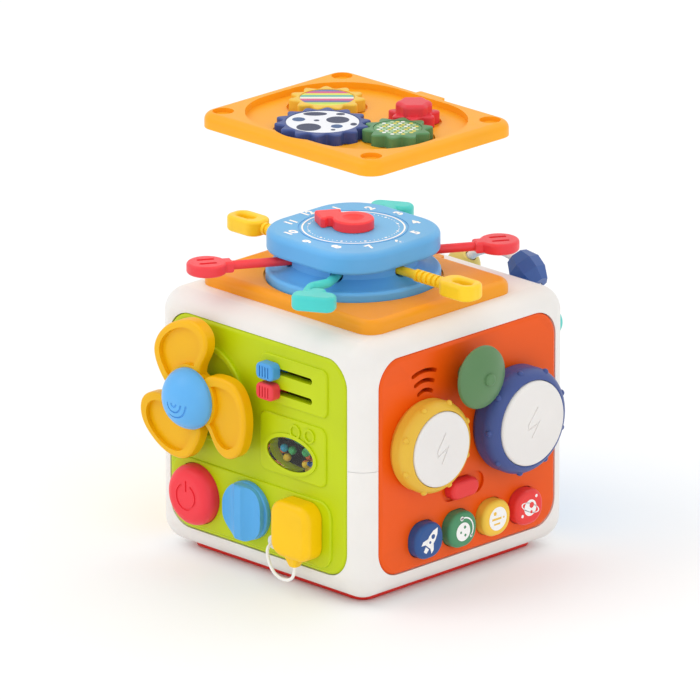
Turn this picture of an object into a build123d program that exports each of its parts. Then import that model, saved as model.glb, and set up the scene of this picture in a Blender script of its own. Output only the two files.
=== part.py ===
from build123d import *
from math import cos, pi, radians, sin, tan
import os

# Baby activity cube. Millimetres, +Z up. The origin is on the underside of the base, below the
# cube's middle. The green panel faces -Y, the orange panel +X, the bead arch +Y.

# ---- driving dimensions: body ----
body_size = 159.0
body_low = 3.6
body_top = 148.0
seam_z = 78.0
body_round = 14.0
wall = 3.0
fit_gap = 0.1  # between fixed neighbours
move_gap = 0.3  # round a piece that moves
bearing_gap = 0.05  # radial, round a shaft

# ---- side panels ----
panel_width = 135.0
panel_height = 122.0
panel_mid = 77.0
panel_corner = 15.0
panel_edge = 2.6
panel_back = 72.5  # distance of the inner face from the cube's middle plane
panel_face = 80.0
flange_face = 73.9
flange_margin = 2.0
wall_inside = body_size / 2 - wall

# ---- top board and saucer ----
board_width = 132.0
board_depth = 110.5
board_corner = 10.0
board_centre = (0.0, -4.75)
saucer_centre = (0.0, -7.0)
board_thickness = 7.6
board_edge = 4.4
saucer_radius = 47.3
saucer_low = body_top + board_thickness
neck_radius = 35.0
neck_bore = 32.0
string_level = 166.2
string_lane = 5.5  # height between the crossing strings inside the saucer
disc_low = 170.0
disc_top = 182.2
disc_half = 41.0
disc_corner = 27.0
string_radius = 2.5
string_reach = 92.0

# ---- floating gear board ----
gear_board_low = 236.5
gear_board_thickness = 8.3
dish_depth = 3.6
gear_thickness = 6.8
knob_lobes = 7
knob_height = 6.4
label_seat = 0.5

SIDES = {
    "front": ((0, -1, 0), (1, 0, 0)),
    "right": ((1, 0, 0), (0, 1, 0)),
    "back": ((0, 1, 0), (-1, 0, 0)),
    "left": ((-1, 0, 0), (0, -1, 0)),
}


def side_plane(side, distance):
    """Plane parallel to one side of the cube, facing out; its y is up."""
    outward, across = SIDES[side]
    return Plane(origin=Vector(*outward) * distance, x_dir=across, z_dir=outward)


def side_point(side, across, up, distance):
    """A point given by its place on one side of the cube and its distance out."""
    return side_plane(side, distance).from_local_coords(Vector(across, up, 0))


def piece_plane(side, across, up, distance):
    """Side plane moved so that its origin is at a feature's centre."""
    return Plane(
        origin=side_point(side, across, up, distance),
        x_dir=SIDES[side][1],
        z_dir=SIDES[side][0],
    )


def write(piece, name):
    """Label a finished piece and write its STEP file."""
    piece.part.label = name
    export_step(piece.part, f"parts/{name}.step")


os.makedirs("parts", exist_ok=True)

# =====================================================================================
# Body shells, base and battery compartment
# =====================================================================================
screw_inset = 56.0
door_centre = (0.0, 34.0)
door_width = 62.0
door_depth = 50.0
door_thickness = 2.2
base_thickness = 4.6
box_height = 17.0
floor_top = body_low + wall
screw_head = 3.2
screw_shank = 1.5


def body_shell():
    """The whole hollow body with its four panel openings, before it is split."""
    with BuildPart() as shell:
        with Locations((0, 0, (body_low + body_top) / 2)):
            Box(body_size, body_size, body_top - body_low)
        fillet(shell.edges(), body_round)
        with BuildPart(mode=Mode.PRIVATE) as cavity:
            with Locations((0, 0, (body_low + body_top) / 2)):
                Box(2 * wall_inside, 2 * wall_inside, body_top - body_low - 2 * wall)
            fillet(cavity.edges(), body_round - wall)
        add(cavity.part, mode=Mode.SUBTRACT)
        for side in SIDES:
            with BuildSketch(side_plane(side, wall_inside - 1)):
                with Locations((0, panel_mid)):
                    RectangleRounded(
                        panel_width + 2 * fit_gap, panel_height + 2 * fit_gap, panel_corner
                    )
            extrude(amount=wall + 2, mode=Mode.SUBTRACT)
    return shell.part


whole_shell = body_shell()

with BuildPart() as lower_shell:
    add(whole_shell)
    split(bisect_by=Plane.XY.offset(seam_z - fit_gap), keep=Keep.BOTTOM)
    with BuildSketch(Plane.XY.offset(body_low)):
        RectangleRounded(132.4, 132.4, 8.2)
    extrude(amount=1.1, mode=Mode.SUBTRACT)
    with BuildSketch(Plane.XY.offset(floor_top)):
        with GridLocations(2 * screw_inset, 2 * screw_inset, 2, 2):
            Circle(5.5)
    extrude(amount=10)
    with BuildSketch(Plane.XY.offset(body_low)):
        with Locations(door_centre):
            RectangleRounded(door_width - 4, door_depth - 4, 3)
        with GridLocations(2 * screw_inset, 2 * screw_inset, 2, 2):
            Circle(screw_shank + fit_gap)
    extrude(amount=13.5, mode=Mode.SUBTRACT)
write(lower_shell, "lower_shell")

with BuildPart() as upper_shell:
    add(whole_shell)
    split(bisect_by=Plane.XY.offset(seam_z + fit_gap), keep=Keep.TOP)
    with BuildSketch(Plane.XY.offset(body_top - wall - 1)):
        with Locations(saucer_centre):
            Circle(24)
    extrude(amount=wall + 2, mode=Mode.SUBTRACT)
write(upper_shell, "upper_shell")

with BuildPart() as base_plate:
    with BuildSketch(Plane.XY):
        RectangleRounded(132, 132, 8)
    extrude(amount=base_thickness)
    fillet(base_plate.faces().sort_by(Axis.Z)[0].edges(), 1.2)
    with BuildSketch(Plane.XY):
        with Locations(door_centre):
            RectangleRounded(door_width, door_depth, 4)
    extrude(amount=base_thickness, mode=Mode.SUBTRACT)
    with Locations((0, 0, 0)):
        with GridLocations(2 * screw_inset, 2 * screw_inset, 2, 2):
            with Locations(Location((0, 0, 0), (180, 0, 0))):
                CounterBoreHole(screw_shank + fit_gap, screw_head + fit_gap, 2.4, 6)
write(base_plate, "base_plate")

with BuildPart() as battery_door:
    with BuildSketch(Plane.XY.offset(0.5)):
        with Locations(door_centre):
            RectangleRounded(door_width - 0.5, door_depth - 0.5, 3.8)
    extrude(amount=door_thickness)
    with BuildSketch(Plane.XY.offset(0.5)):
        with Locations((door_centre[0], door_centre[1] + 19)):
            Circle(2.2)
    extrude(amount=1.2, mode=Mode.SUBTRACT)
    with BuildSketch(Plane.XY.offset(0.5)):
        with Locations((door_centre[0], door_centre[1] - 15)):
            with GridLocations(0, 3, 1, 4):
                SlotOverall(18, 1.4)
    extrude(amount=0.7, mode=Mode.SUBTRACT)
write(battery_door, "battery_door")

with BuildPart() as battery_box:
    with BuildSketch(Plane.XY.offset(floor_top + fit_gap)):
        with Locations(door_centre):
            RectangleRounded(door_width, door_depth, 3)
    extrude(amount=box_height)
    with BuildSketch(Plane.XY.offset(floor_top + fit_gap)):
        with Locations(door_centre):
            RectangleRounded(door_width - 3, door_depth - 3, 2)
    extrude(amount=box_height - 1.5, mode=Mode.SUBTRACT)
write(battery_box, "battery_box")

battery_radius = 7.1
with BuildPart() as batteries:
    for row in (-1, 0, 1):
        with BuildSketch(Plane.YZ.offset(-25)):
            with Locations((door_centre[1] + row * 15, floor_top + 8.2)):
                Circle(battery_radius)
        extrude(amount=49)
        with BuildSketch(Plane.YZ.offset(24)):
            with Locations((door_centre[1] + row * 15, floor_top + 8.2)):
                Circle(2.6)
        extrude(amount=1.2)
write(batteries, "batteries")

with BuildPart() as housing_screws:
    with BuildSketch(Plane.XY.offset(0.5)):
        with GridLocations(2 * screw_inset, 2 * screw_inset, 2, 2):
            Circle(screw_head)
    extrude(amount=1.8)
    with BuildSketch(Plane.XY.offset(2.3)):
        with GridLocations(2 * screw_inset, 2 * screw_inset, 2, 2):
            Circle(screw_shank)
    extrude(amount=13)
    with BuildSketch(Plane.XY.offset(0.5)):
        with GridLocations(2 * screw_inset, 2 * screw_inset, 2, 2):
            Rectangle(3.6, 0.8)
            Rectangle(0.8, 3.6)
    extrude(amount=1, mode=Mode.SUBTRACT)
write(housing_screws, "housing_screws")


# =====================================================================================
# Side panels
# =====================================================================================
def panel_blank(side):
    """A side panel: rounded plate with a hidden flange behind the body wall."""
    with BuildPart() as blank:
        with BuildSketch(side_plane(side, panel_back)):
            with Locations((0, panel_mid)):
                RectangleRounded(panel_width, panel_height, panel_corner)
        extrude(amount=panel_face - panel_back)
        outer = blank.faces().sort_by(Axis((0, 0, 0), SIDES[side][0]))[-1]
        fillet(outer.edges(), panel_edge)
        with BuildSketch(side_plane(side, panel_back)):
            with Locations((0, panel_mid)):
                RectangleRounded(
                    panel_width + 2 * flange_margin, panel_height + 2 * flange_margin, panel_corner
                )
                RectangleRounded(
                    panel_width - 1, panel_height - 1, panel_corner, mode=Mode.SUBTRACT
                )
        extrude(amount=flange_face - panel_back)
    return blank.part


# ---- front panel: fan, sliders, window, power button, knob and plug ----
fan_centre = (-36.0, 98.0)
fan_axle_radius = 2.5
slot_levels = (122.5, 111.2)
slot_start = 8.0
slot_end = 43.0
slot_height = 3.6
window_centre = (27.0, 78.0)
window_half = (17.5, 9.2)
power_centre = (-45.0, 38.0)
power_radius = 17.0
knob_centre = (-4.5, 39.0)
knob_radius = 16.3
knob_shaft_radius = 3.0
plug_centre = (36.0, 39.0)
prong_radius = 2.4
prong_pitch = 13.0
cord_exit = (14.5, 25.5)
cord_radius = 0.9
grommet_radius = 2.6
pad_rise = 1.2

front_pads = (
    # centre x, centre z, width, height, corner
    (29.0, 117.5, 50.0, 27.0, 4.0),
    (28.0, 81.2, 50.0, 33.5, 5.0),
    (-3.5, 38.0, 121.0, 38.0, 9.0),
)

blank = panel_blank("front")
with BuildPart() as front_panel:
    add(blank)
    for x, z, width, height, corner in front_pads:
        with BuildSketch(side_plane("front", panel_face)):
            with Locations((x, z)):
                RectangleRounded(width, height, corner)
        extrude(amount=pad_rise)
    fillet(front_panel.faces().group_by(Axis.Y)[0].edges(), 1.0)
    with BuildSketch(side_plane("front", panel_face)):
        with Locations(fan_centre):
            Circle(27)
            Circle(23.6, mode=Mode.SUBTRACT)
            Circle(8)
    extrude(amount=2.0)
    fillet(front_panel.faces().group_by(Axis.Y)[0].edges(), 0.9)
    with BuildSketch(side_plane("front", panel_face + pad_rise)):
        with Locations((30.4, 91.7), (41.1, 91.7)):
            Circle(4.0)
            Circle(2.9, mode=Mode.SUBTRACT)
        with Locations(window_centre):
            Ellipse(window_half[0] + 2.2, window_half[1] + 2.2)
    extrude(amount=0.8)
    with BuildSketch(side_plane("front", panel_back - 1)):
        for level in slot_levels:
            with Locations(((slot_start + slot_end) / 2, level)):
                SlotOverall(slot_end - slot_start, slot_height)
        with Locations(window_centre):
            Ellipse(*window_half)
        with Locations(fan_centre):
            Circle(fan_axle_radius + bearing_gap)
        with Locations(power_centre):
            Circle(power_radius + move_gap)
        with Locations(knob_centre):
            Circle(knob_shaft_radius + bearing_gap)
        with Locations(plug_centre):
            with GridLocations(prong_pitch, 0, 2, 1):
                Circle(prong_radius + 0.1)
        with Locations(cord_exit):
            Circle(grommet_radius + bearing_gap)
    extrude(amount=14, mode=Mode.SUBTRACT)
    # Shallow seats for the buttons' flanges and the sliders' keepers, behind the plate.
    with BuildSketch(side_plane("front", panel_back)):
        with Locations(power_centre):
            Circle(power_radius + 2.6)
        with Locations(((slot_start + slot_end) / 2, slot_levels[0])):
            RectangleRounded(slot_end - slot_start + 8, 8.6, 1)
        with Locations(((slot_start + slot_end) / 2, slot_levels[1])):
            RectangleRounded(slot_end - slot_start + 8, 8.6, 1)
        with Locations(knob_centre):
            Circle(6)
    extrude(amount=3.5, mode=Mode.SUBTRACT)
write(front_panel, "front_panel")

# ---- right panel: speaker grille, drums, cymbal, switch and keys ----
grille_slots = ((-33.6, 126.5, 17.0), (-33.5, 121.0, 13.5), (-33.0, 115.5, 10.0))
grille_bow = 1.6
drum_yellow = (-35.0, 86.0)
drum_navy = (32.0, 85.0)
cymbal_centre = (-3.0, 118.5)
cymbal_stem = 5.0
switch_centre = (-6.0, 54.0)
switch_track = (-4.0, 32.0, 12.6)
key_row = (-35.0, -9.5, 16.5, 41.5)
key_level = 32.0
key_size = (21.0, 20.0)
key_corner = 9.2
drum_post = 4.0

blank = panel_blank("right")
with BuildPart() as right_panel:
    add(blank)
    for y, z, length in grille_slots:
        with BuildSketch(side_plane("right", panel_back - 1)):
            with BuildLine():
                bow = ThreePointArc(
                    (y - length / 2, z - grille_bow), (y, z), (y + length / 2, z - grille_bow)
                )
            SlotArc(bow, 2.4)
        extrude(amount=12, mode=Mode.SUBTRACT)
    with BuildSketch(side_plane("right", panel_face - 1.6)):
        with Locations((switch_track[0], switch_centre[1])):
            SlotOverall(switch_track[1], switch_track[2])
    extrude(amount=5, mode=Mode.SUBTRACT)
    with BuildSketch(side_plane("right", panel_back - 1)):
        with Locations((switch_track[0], switch_centre[1])):
            SlotOverall(18, 4.6)
        with Locations(*[(y, key_level) for y in key_row]):
            RectangleRounded(key_size[0] + 2 * move_gap, key_size[1] + 2 * move_gap, key_corner)
        with Locations(drum_yellow, drum_navy):
            Circle(drum_post + move_gap)
        with Locations(cymbal_centre):
            Circle(cymbal_stem + move_gap)
    extrude(amount=12, mode=Mode.SUBTRACT)
    with BuildSketch(side_plane("right", panel_back)):
        with Locations((3.2, key_level)):
            RectangleRounded(102, 26, 4)
        with Locations((switch_track[0], switch_centre[1])):
            RectangleRounded(30, 9, 2)
    extrude(amount=3.5, mode=Mode.SUBTRACT)
write(right_panel, "right_panel")

# ---- back panel: feet of the bead arch ----
arch_centre = (13.0, 114.7)
arch_radius = 34.4
arch_plane = 93.0
arch_rod_radius = 2.6
arch_ends = (-32.0, 212.0)  # degrees, from +X towards +Z


def arch_point(angle, distance=arch_plane, radius=arch_radius):
    """Point on the bead arch's circle."""
    turn = radians(angle)
    x = arch_centre[0] + radius * cos(turn)
    z = arch_centre[1] + radius * sin(turn)
    return Vector(x, distance, z)


blank = panel_blank("back")
with BuildPart() as back_panel:
    add(blank)
    with BuildSketch(side_plane("back", panel_face)):
        with Locations((0, 45)):
            RectangleRounded(108, 40, 12)
            RectangleRounded(100, 32, 8, mode=Mode.SUBTRACT)
    extrude(amount=1.5)
    for angle in arch_ends:
        foot = arch_point(angle)
        with BuildSketch(side_plane("back", panel_back - 1)):
            with Locations((-foot.X, foot.Z)):
                Circle(5 + fit_gap)
        extrude(amount=12, mode=Mode.SUBTRACT)
write(back_panel, "back_panel")

# ---- left panel: plain, with a raised flower ----
blank = panel_blank("left")
with BuildPart() as left_panel:
    add(blank)
    with BuildSketch(side_plane("left", panel_face)):
        with Locations((0, panel_mid)):
            with PolarLocations(22, 6):
                Circle(11)
            Circle(20, mode=Mode.SUBTRACT)
        with Locations((0, panel_mid)):
            Circle(12)
    extrude(amount=1.2)
write(left_panel, "left_panel")


# =====================================================================================
# Fan
# =====================================================================================
blade_low = 88.0
blade_high = 95.0
blade_outline = (
    # one blade, from the hub's middle, leaning to the left
    (9.5, 8.0),
    (7.4, 18.0),
    (12.6, 28.0),
    (12.4, 37.0),
    (4.0, 43.0),
    (-9.0, 41.5),
    (-21.5, 34.0),
    (-27.8, 22.5),
    (-23.5, 9.5),
    (-12.0, 1.0),
)
blade_middle = (-7.5, 25.0)
pocket_scale = 0.76
hub_spigot = 11.0
hub_radius = 17.0
hub_top = 108.0
spiral_halves = 5
spiral_start = 1.8
spiral_step = 1.5
dome_curve = 22.0  # radius of the dome's face near its middle


def blade_points(turn, scale):
    """The blade's outline, drawn towards its middle by scale and turned about the axle."""
    points = []
    for x, z in blade_outline:
        u = blade_middle[0] + (x - blade_middle[0]) * scale
        v = blade_middle[1] + (z - blade_middle[1]) * scale
        points.append((u * cos(turn) - v * sin(turn), u * sin(turn) + v * cos(turn)))
    return points


blade_turns = (radians(2), radians(122), radians(242))
with BuildPart() as fan_blades:
    for turn in blade_turns:
        with BuildSketch(piece_plane("front", *fan_centre, blade_low)):
            with BuildLine():
                Spline(*blade_points(turn, 1.0), periodic=True)
            make_face()
        extrude(amount=blade_high - blade_low)
    with BuildSketch(piece_plane("front", *fan_centre, blade_low)):
        Circle(15.5)
    extrude(amount=blade_high - blade_low)
    rims = fan_blades.faces().filter_by(Axis.Y)
    fillet(rims.sort_by(Axis.Y)[0].edges(), 2.0)
    for turn in blade_turns:
        with BuildSketch(piece_plane("front", *fan_centre, blade_high - 2.6)):
            with BuildLine():
                Spline(*blade_points(turn, pocket_scale), periodic=True)
            make_face()
            Circle(18.5, mode=Mode.SUBTRACT)
        extrude(amount=6, mode=Mode.SUBTRACT)
    with BuildSketch(piece_plane("front", *fan_centre, blade_low - 1)):
        Circle(hub_spigot)
    extrude(amount=12, mode=Mode.SUBTRACT)
write(fan_blades, "fan_blades")

hub_low = blade_high + fit_gap
with BuildPart() as fan_hub:
    # Dome drawn in the level plane that holds the axle, then turned about it.
    with BuildSketch(Plane(origin=(fan_centre[0], 0, fan_centre[1]), x_dir=(1, 0, 0), z_dir=(0, 0, 1))):
        with BuildLine():
            Polyline(
                (0, -98.0),
                (fan_axle_radius + fit_gap, -98.0),
                (fan_axle_radius + fit_gap, -86.5),
                (hub_spigot - fit_gap, -86.5),
                (hub_spigot - fit_gap, -hub_low),
                (hub_radius, -hub_low),
                (hub_radius, -hub_low - 2.0),
            )
            ThreePointArc((hub_radius, -hub_low - 2.0), (11.2, -105.2), (0.6, -hub_top))
            Polyline((0.6, -hub_top), (0, -hub_top), (0, -98.0))
        make_face()
    revolve(axis=Axis((fan_centre[0], 0, fan_centre[1]), (0, 1, 0)))
    # Spiral groove in the dome's face, made of half turns that grow outwards.
    for index in range(spiral_halves):
        ring = spiral_start + spiral_step * index
        side = 1 if index % 2 == 0 else -1
        shift = side * spiral_step / 2
        height = hub_top - ring**2 / (2 * dome_curve)
        middle = (fan_centre[0] + shift, 0, fan_centre[1])
        with BuildSketch(Plane(origin=middle, x_dir=(side, 0, 0), z_dir=(0, 0, side))):
            with Locations((ring, -height * side)):
                Circle(0.55)
        revolve(axis=Axis(middle, (0, 1, 0)), revolution_arc=180, mode=Mode.SUBTRACT)
write(fan_hub, "fan_hub")

with BuildPart() as fan_axle:
    with BuildSketch(piece_plane("front", *fan_centre, 66)):
        Circle(fan_axle_radius)
    extrude(amount=32)
    with BuildSketch(piece_plane("front", *fan_centre, 68)):
        Circle(5)
    extrude(amount=panel_back - 68 - move_gap)
write(fan_axle, "fan_axle")


# =====================================================================================
# Sliders, window and rattle
# =====================================================================================
slider_x = 12.7


def slider(level):
    """Slider: gripped knob outside, stem through the slot and keeper behind the panel."""
    with BuildPart() as knob:
        with BuildSketch(piece_plane("front", slider_x, level, panel_face + pad_rise + move_gap)):
            RectangleRounded(13, 9.3, 3.2)
        extrude(amount=6)
        fillet(knob.faces().sort_by(Axis.Y)[0].edges(), 1.4)
        with BuildSketch(piece_plane("front", slider_x, level, panel_face + pad_rise + 5.2)):
            with GridLocations(2.1, 0, 4, 1):
                SlotOverall(6.2, 0.8, rotation=90)
        extrude(amount=3, mode=Mode.SUBTRACT)
        with BuildSketch(piece_plane("front", slider_x, level, 73.6)):
            RectangleRounded(6, slot_height - 2 * move_gap, 1)
        extrude(amount=panel_face + pad_rise + 1 - 73.6)
        with BuildSketch(piece_plane("front", slider_x, level, 73.6)):
            RectangleRounded(9, 7.6, 1)
        extrude(amount=2.0)
    return knob


for name, level in (("slider_blue", slot_levels[0]), ("slider_red", slot_levels[1])):
    write(slider(level), name)

cup_low = 59.0
with BuildPart() as rattle_cup:
    with BuildSketch(piece_plane("front", *window_centre, cup_low)):
        Ellipse(window_half[0] + 2.5, window_half[1] + 2.5)
    extrude(amount=panel_back - fit_gap - cup_low)
    with BuildSketch(piece_plane("front", *window_centre, cup_low + 1.5)):
        Ellipse(window_half[0] - 0.5, window_half[1] - 0.5)
    extrude(amount=16, mode=Mode.SUBTRACT)
write(rattle_cup, "rattle_cup")

with BuildPart() as window_lens:
    with BuildSketch(piece_plane("front", *window_centre, 78.5)):
        Ellipse(window_half[0] - fit_gap, window_half[1] - fit_gap)
    extrude(amount=3.8)
    fillet(window_lens.faces().sort_by(Axis.Y)[0].edges(), 1.6)
write(window_lens, "window_lens")

bead_radius = 2.3
bead_spots = (
    # x, z and distance from the middle plane of each loose bead in the cup
    (-13.4, -2.2, 72.0),
    (-9.9, 0.1, 75.0),
    (-4.7, -0.3, 74.0),
    (-8.7, -5.2, 74.0),
    (6.5, 1.4, 75.0),
    (5.6, -1.9, 71.4),
    (6.5, -5.2, 75.0),
    (10.2, -3.7, 72.0),
)
with BuildPart() as rattle_beads:
    for x, z, distance in bead_spots:
        centre = side_point("front", window_centre[0] + x, window_centre[1] + z, distance)
        with Locations(centre):
            Sphere(bead_radius)
write(rattle_beads, "rattle_beads")


# =====================================================================================
# Power button, rotary knob, plug and its cord
# =====================================================================================
pad_face = panel_face + pad_rise
power_face = pad_face + 8.6


with BuildPart() as power_button:
    with BuildSketch(piece_plane("front", *power_centre, 76.5)):
        Circle(power_radius)
    extrude(amount=power_face - 76.5)
    fillet(power_button.faces().sort_by(Axis.Y)[0].edges(), 6.5)
    with BuildSketch(piece_plane("front", *power_centre, 74.2)):
        Circle(power_radius + 2)
    extrude(amount=1.4)
    with BuildSketch(piece_plane("front", *power_centre, 70)):
        Circle(5)
    extrude(amount=8)
    # Generic power mark, engraved: an open ring and a bar.
    with BuildSketch(piece_plane("front", *power_centre, power_face - 0.6)):
        with BuildLine():
            ring = CenterArc((0, 0), 7.0, 120, 300)
        SlotArc(ring, 1.3)
    extrude(amount=2, mode=Mode.SUBTRACT)
    with BuildSketch(piece_plane("front", *power_centre, power_face - 0.6)):
        with Locations((0, 6.0)):
            SlotOverall(6.5, 1.3, rotation=90)
    extrude(amount=2, mode=Mode.SUBTRACT)
write(power_button, "power_button")

knob_face = pad_face + 9.4
scoop_radius = 10.0
with BuildPart() as rotary_knob:
    with BuildSketch(piece_plane("front", *knob_centre, pad_face + move_gap)):
        Circle(knob_radius)
    extrude(amount=3.0)
    fillet(rotary_knob.faces().sort_by(Axis.Y)[0].edges(), 1.0)
    with BuildSketch(piece_plane("front", *knob_centre, pad_face + 2)):
        RectangleRounded(29, 31.4, 13.5)
    extrude(amount=knob_face - pad_face - 2)
    fillet(rotary_knob.faces().sort_by(Axis.Y)[0].edges(), 2.4)
    # Two upright scoops leave a ridge down the middle.
    with BuildSketch(Plane.XY.offset(knob_centre[1] - 22)):
        with Locations((knob_centre[0] - 10.2, -knob_face - 6.2), (knob_centre[0] + 10.2, -knob_face - 6.2)):
            Circle(scoop_radius)
    extrude(amount=44, mode=Mode.SUBTRACT)
    with BuildSketch(piece_plane("front", *knob_centre, 69)):
        Circle(knob_shaft_radius)
    extrude(amount=pad_face + 2 - 69)
write(rotary_knob, "rotary_knob")

with BuildPart() as knob_clip:
    with BuildSketch(piece_plane("front", *knob_centre, 73.4)):
        Circle(5)
        Circle(knob_shaft_radius + 0.02, mode=Mode.SUBTRACT)
    extrude(amount=1.6)
write(knob_clip, "knob_clip")

plug_width = 29.0
plug_height = 32.0
plug_low = pad_face + move_gap
plug_top = 93.0
relief_y = 87.0
relief_x = 35.5
relief_end = 18.4
with BuildPart() as power_plug:
    with BuildSketch(piece_plane("front", *plug_centre, plug_low)):
        RectangleRounded(plug_width, plug_height, 8.5)
    extrude(amount=plug_top - plug_low)
    fillet(power_plug.faces().sort_by(Axis.Y)[0].edges(), 4.0)
    with BuildSketch(Plane.XY.offset(relief_end)):
        with Locations((relief_x, -relief_y)):
            RectangleRounded(5.2, 5.2, 1.6)
    with BuildSketch(Plane.XY.offset(plug_centre[1] - plug_height / 2 + 1)):
        with Locations((relief_x, -relief_y)):
            RectangleRounded(10.5, 8.6, 2.4)
    loft()
write(power_plug, "power_plug")

with BuildPart() as plug_prongs:
    for offset in (-prong_pitch / 2, prong_pitch / 2):
        prong_plane = piece_plane("front", plug_centre[0] + offset, plug_centre[1], 56)
        with BuildSketch(prong_plane):
            Circle(prong_radius)
        extrude(amount=plug_low - 56)
write(plug_prongs, "plug_prongs")

# The cord leaves the strain relief downwards, loops below the plug and enters the panel
# through its grommet. Its straight inner length slides in with the plug.
cord_route = (
    (relief_x, -relief_y, relief_end),
    (relief_x, -relief_y, 12.0),
    (29.5, -87.3, 8.2),
    (21.0, -87.5, 9.6),
    (15.4, -87.3, 16.6),
    (cord_exit[0], -87.0, cord_exit[1]),
    (cord_exit[0], -72.0, cord_exit[1]),
    (cord_exit[0] - 0.2, -50.0, cord_exit[1]),
)


def cord_radii(points):
    """Bend radius at each inner point: as large as its two runs allow."""
    radii = []
    for before, here, after in zip(points, points[1:], points[2:]):
        first = Vector(*here) - Vector(*before)
        second = Vector(*after) - Vector(*here)
        half_turn = radians(first.get_angle(second)) / 2
        radii.append(0.45 * min(first.length, second.length) / tan(half_turn))
    return radii


bend_radii = cord_radii(cord_route)
print("cord radii", [round(radius, 1) for radius in bend_radii])

with BuildPart() as plug_cord:
    with BuildLine() as cord_line:
        FilletPolyline(*cord_route, radius=bend_radii)
    with BuildSketch(Plane(origin=cord_route[0], z_dir=(0, 0, -1))):
        Circle(cord_radius)
    sweep(path=cord_line.wires()[0])
cord_length = cord_line.wires()[0].length
cord_section = pi * cord_radius**2
print("cord volume over section times length", plug_cord.part.volume / (cord_section * cord_length))
write(plug_cord, "plug_cord")

with BuildPart() as cord_grommet:
    with BuildSketch(piece_plane("front", *cord_exit, panel_back)):
        Circle(grommet_radius)
        Circle(cord_radius + 0.5, mode=Mode.SUBTRACT)
    extrude(amount=pad_face - panel_back)
    with BuildSketch(piece_plane("front", *cord_exit, pad_face)):
        Circle(grommet_radius + 1.2)
        Circle(cord_radius + 0.5, mode=Mode.SUBTRACT)
    extrude(amount=1.4)
write(cord_grommet, "cord_grommet")

# =====================================================================================
# Drums, cymbal, switch and keys
# =====================================================================================
def drum_shell(centre, radius, depth, head_radius, bumps):
    """Open drum body on the panel: swelling side, rolled rim and a ring of small bumps."""
    middle = side_point("right", *centre, 0)
    rim = head_radius + move_gap
    rim_face = panel_face + depth
    shoulder = panel_face + depth * 0.45
    with BuildPart() as drum:
        # Half profile in a level plane: x is the radius, y runs back into the cube.
        with BuildSketch(Plane(origin=middle, x_dir=(0, 1, 0), z_dir=(0, 0, 1))):
            with BuildLine():
                Polyline((rim, -rim_face), (rim, -panel_face - 2), (drum_post + move_gap, -panel_face - 2))
                Polyline(
                    (drum_post + move_gap, -panel_face - 2),
                    (drum_post + move_gap, -panel_face),
                    (radius - 1.2, -panel_face),
                    (radius, -panel_face - 2.4),
                    (radius, -shoulder),
                )
                ThreePointArc(
                    (radius, -shoulder),
                    (rim + (radius - rim) * 0.74, -panel_face - depth * 0.84),
                    (rim + 0.7, -rim_face - 0.2),
                )
                Line((rim + 0.7, -rim_face - 0.2), (rim, -rim_face))
            make_face()
        revolve(axis=Axis(middle, (1, 0, 0)))
        for index in range(bumps):
            turn = 2 * pi * (index + 0.5) / bumps
            bump_ring = rim + (radius - rim) * 0.80
            across = centre[0] + bump_ring * cos(turn)
            up = centre[1] + bump_ring * sin(turn)
            with Locations(side_point("right", across, up, panel_face + depth * 0.74)):
                Sphere(1.9)
    return drum


def bolt_mark(size, lean):
    """Generic lightning flash as five points about its middle."""
    flash = ((-0.02, 0.62), (-0.28, -0.08), (-0.20, -0.26), (0.24, 0.10), (0.06, -0.52))
    points = []
    for u, v in flash:
        points.append((size * (u * cos(lean) - v * sin(lean)), size * (u * sin(lean) + v * cos(lean))))
    return points


def drum_head(centre, depth, head_radius, lean):
    """Drum skin: slightly domed disc on a post that passes into the body."""
    top = panel_face + depth + 1.6
    with BuildPart() as head:
        with BuildSketch(piece_plane("right", *centre, top - 7)):
            Circle(head_radius)
        extrude(amount=7)
        fillet(head.faces().sort_by(Axis.X)[-1].edges(), 1.6)
        with BuildSketch(piece_plane("right", *centre, top - 0.4)):
            with BuildLine() as flash:
                Polyline(*bolt_mark(15, lean))
            trace(line_width=0.8)
        extrude(amount=2, mode=Mode.SUBTRACT)
        with BuildSketch(piece_plane("right", *centre, 68)):
            Circle(drum_post)
        extrude(amount=top - 5 - 68)
    return head


drums = (
    # name, centre, radius, depth, head radius, bumps, lean of the mark
    ("yellow", drum_yellow, 25.5, 14.0, 20.8, 8, radians(-14)),
    ("navy", drum_navy, 29.5, 16.5, 23.6, 9, radians(-20)),
)
for name, centre, radius, depth, head_radius, bumps, lean in drums:
    write(drum_shell(centre, radius, depth, head_radius, bumps), f"drum_shell_{name}")
    write(drum_head(centre, depth, head_radius, lean), f"drum_head_{name}")

cymbal_radius = 17.5
cymbal_low = 91.0
with BuildPart() as cymbal:
    middle = side_point("right", *cymbal_centre, 0)
    with BuildSketch(Plane(origin=middle, x_dir=(0, 1, 0), z_dir=(0, 0, 1))):
        with BuildLine():
            Polyline(
                (0, -68),
                (cymbal_stem, -68),
                (cymbal_stem, -cymbal_low),
                (cymbal_radius - 0.8, -cymbal_low),
                (cymbal_radius, -cymbal_low - 1.2),
                (cymbal_radius - 0.5, -cymbal_low - 2.6),
            )
            ThreePointArc((cymbal_radius - 0.5, -cymbal_low - 2.6), (10.2, -97.2), (3.6, -98.6))
            Polyline((3.6, -98.6), (3.4, -99.8), (2.4, -100.4), (0, -100.4), (0, -68))
        make_face()
    revolve(axis=Axis(middle, (1, 0, 0)))
    with BuildSketch(piece_plane("right", *cymbal_centre, 97.0)):
        with PolarLocations(12.2, 8):
            Circle(1.5)
    extrude(amount=5, mode=Mode.SUBTRACT)
write(cymbal, "cymbal")

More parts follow.
